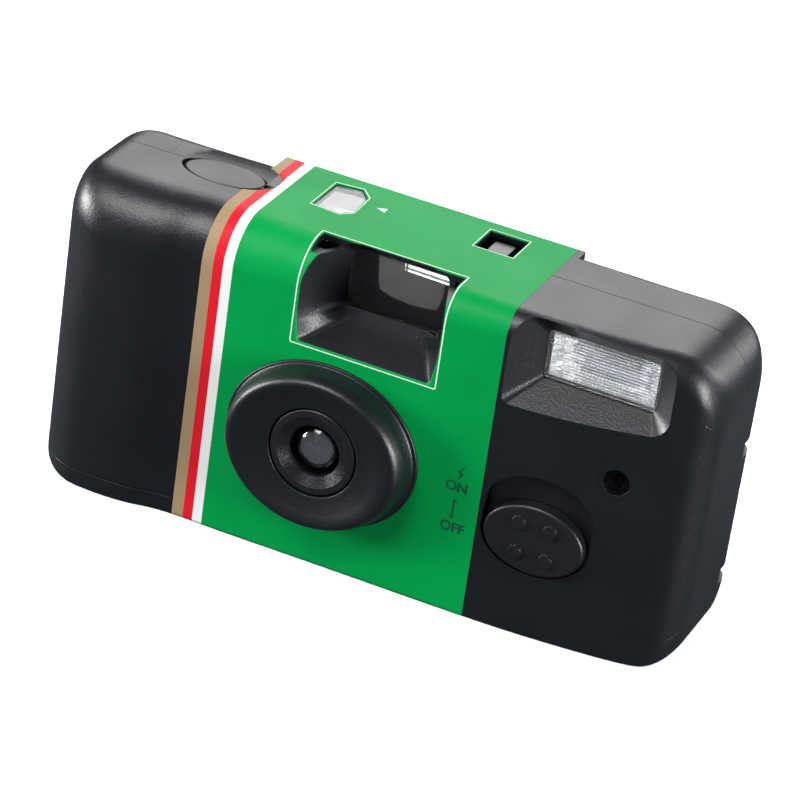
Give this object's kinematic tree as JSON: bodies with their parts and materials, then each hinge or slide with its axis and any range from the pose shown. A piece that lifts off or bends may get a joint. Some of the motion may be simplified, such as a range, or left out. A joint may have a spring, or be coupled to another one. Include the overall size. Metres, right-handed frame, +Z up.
{
  "type": "disposable film camera",
  "caption": "Single-use film camera with flash: matte black moulded shell, green wrap label with gold, red and white stripes, viewfinder, shutter button, thumb wheel and sliding switch.",
  "frame": {"origin": "underside, at the middle of the bounding box's width and depth", "axes": "+X to the right of someone facing the front, -Y is the front with the lens, +Z up"},
  "size_m": [0.112, 0.034, 0.054],
  "materials": {
    "black_plastic": "fine-grain moulded, matte",
    "inner_plastic": "moulded, plain matte",
    "green_label": "printed film with a satin coat",
    "clear_plastic": "clear, polished",
    "grey_plastic": "moulded, fine grain",
    "white_plastic": "light-carrying, milky",
    "reflector_metal": "bright, faceted",
    "spring_steel": "stamped and bent",
    "glass_clear": "clear",
    "can_steel": "thin sheet, painted",
    "film_base": "coated film",
    "board_brown": "laminate with copper tracks",
    "capacitor_sleeve": "shrunk sleeve",
    "winding_copper": "wound and lacquered",
    "cell_jacket": "printed jacket, bare",
    "lamp_amber": "tinted, clear"
  },
  "bodies": {
    "camera": {"battery": "cell_jacket", "battery_contact_negative": "spring_steel", "battery_contact_positive": "spring_steel", "blade_spring": "spring_steel", "counter_window": "clear_plastic", "eyepiece_lens": "clear_plastic", "film_cartridge": "can_steel", "film_strip": "film_base", "flash_board": "board_brown", "flash_diffuser": "clear_plastic", "flash_reflector": "reflector_metal", "front_cover": "black_plastic", "label": "green_label", "lens_holder": "inner_plastic", "lens_ring": "grey_plastic", "main_capacitor": "capacitor_sleeve", "main_frame": "inner_plastic", "ready_lamp": "lamp_amber", "rear_cover": "black_plastic", "shutter_plate": "can_steel", "striker_spring": "spring_steel", "switch_contact": "spring_steel", "taking_lens": "clear_plastic", "transformer": "winding_copper", "trigger_coil": "winding_copper", "viewfinder_front_lens": "clear_plastic", "xenon_tube": "glass_clear"},
    "winding": {"thumb_wheel": "grey_plastic", "cartridge_spool": "inner_plastic"},
    "drive": {"sprocket": "white_plastic"},
    "supply": {"film_roll": "film_base"},
    "counter": {"counter_dial": "white_plastic"},
    "button": {"shutter_button": "grey_plastic"},
    "lever": {"release_lever": "inner_plastic"},
    "hammer": {"striker": "spring_steel"},
    "blade": {"shutter_blade": "can_steel"},
    "switch": {"flash_switch": "grey_plastic", "switch_slider": "grey_plastic", "light_guide": "white_plastic"},
    "lid": {"cartridge_lid": "black_plastic"},
    "pawl": {"wheel_pawl": "spring_steel"}
  },
  "joints": [
    {"name": "wind_turn", "type": "hinge", "parent": "camera", "child": "winding", "pos_m": [-0.041, 0.0011, 0.047], "axis": [0, 0, 1], "continuous": true},
    {"name": "sprocket_turn", "type": "hinge", "parent": "camera", "child": "drive", "pos_m": [-0.0226, 0.0068, 0.0395], "axis": [0, 0, 1], "continuous": true},
    {"name": "film_roll_turn", "type": "hinge", "parent": "camera", "child": "supply", "pos_m": [0.0284, 0.0042, 0.0234], "axis": [0, 0, 1], "continuous": true},
    {"name": "counter_turn", "type": "hinge", "parent": "camera", "child": "counter", "pos_m": [-0.0154, 0.005, 0.05], "axis": [0, 0, 1], "continuous": true},
    {"name": "button_press", "type": "slide", "parent": "camera", "child": "button", "axis": [0, 0, -1], "range_m": [0, 0.0009], "stiffness_N_per_m": 400},
    {"name": "lever_turn", "type": "hinge", "parent": "camera", "child": "lever", "pos_m": [-0.0222, 0.0029, 0.0453], "axis": [0, 1, 0], "range_deg": [-13, 0]},
    {"name": "hammer_turn", "type": "hinge", "parent": "camera", "child": "hammer", "pos_m": [-0.02, -0.0096, 0.0364], "axis": [0, 1, 0], "range_deg": [0, 36]},
    {"name": "blade_turn", "type": "hinge", "parent": "camera", "child": "blade", "pos_m": [-0.014, -0.00875, 0.0296], "axis": [0, 1, 0], "range_deg": [0, 30]},
    {"name": "flash_switch_slide", "type": "slide", "parent": "camera", "child": "switch", "axis": [0, 0, 1], "range_m": [0, 0.0044]},
    {"name": "lid_turn", "type": "hinge", "parent": "camera", "child": "lid", "pos_m": [-0.043, 0.01188, 0], "axis": [1, 0, 0], "range_deg": [0, 100]},
    {"name": "pawl_turn", "type": "hinge", "parent": "camera", "child": "pawl", "pos_m": [-0.0246, -0.0056, 0.047], "axis": [0, 0, 1], "range_deg": [0, 8], "stiffness_Nm_per_rad": 0.0001}
  ],
  "couplings": [
    {"joint": "sprocket_turn", "follows": "wind_turn", "ratio": 0.9091},
    {"joint": "film_roll_turn", "follows": "wind_turn", "ratio": 0.6395},
    {"joint": "counter_turn", "follows": "wind_turn", "ratio": -0.02525},
    {"joint": "lever_turn", "follows": "button_press", "rad_per_m": -240},
    {"joint": "hammer_turn", "follows": "button_press", "rad_per_m": 660},
    {"joint": "blade_turn", "follows": "button_press", "rad_per_m": 560}
  ]
}
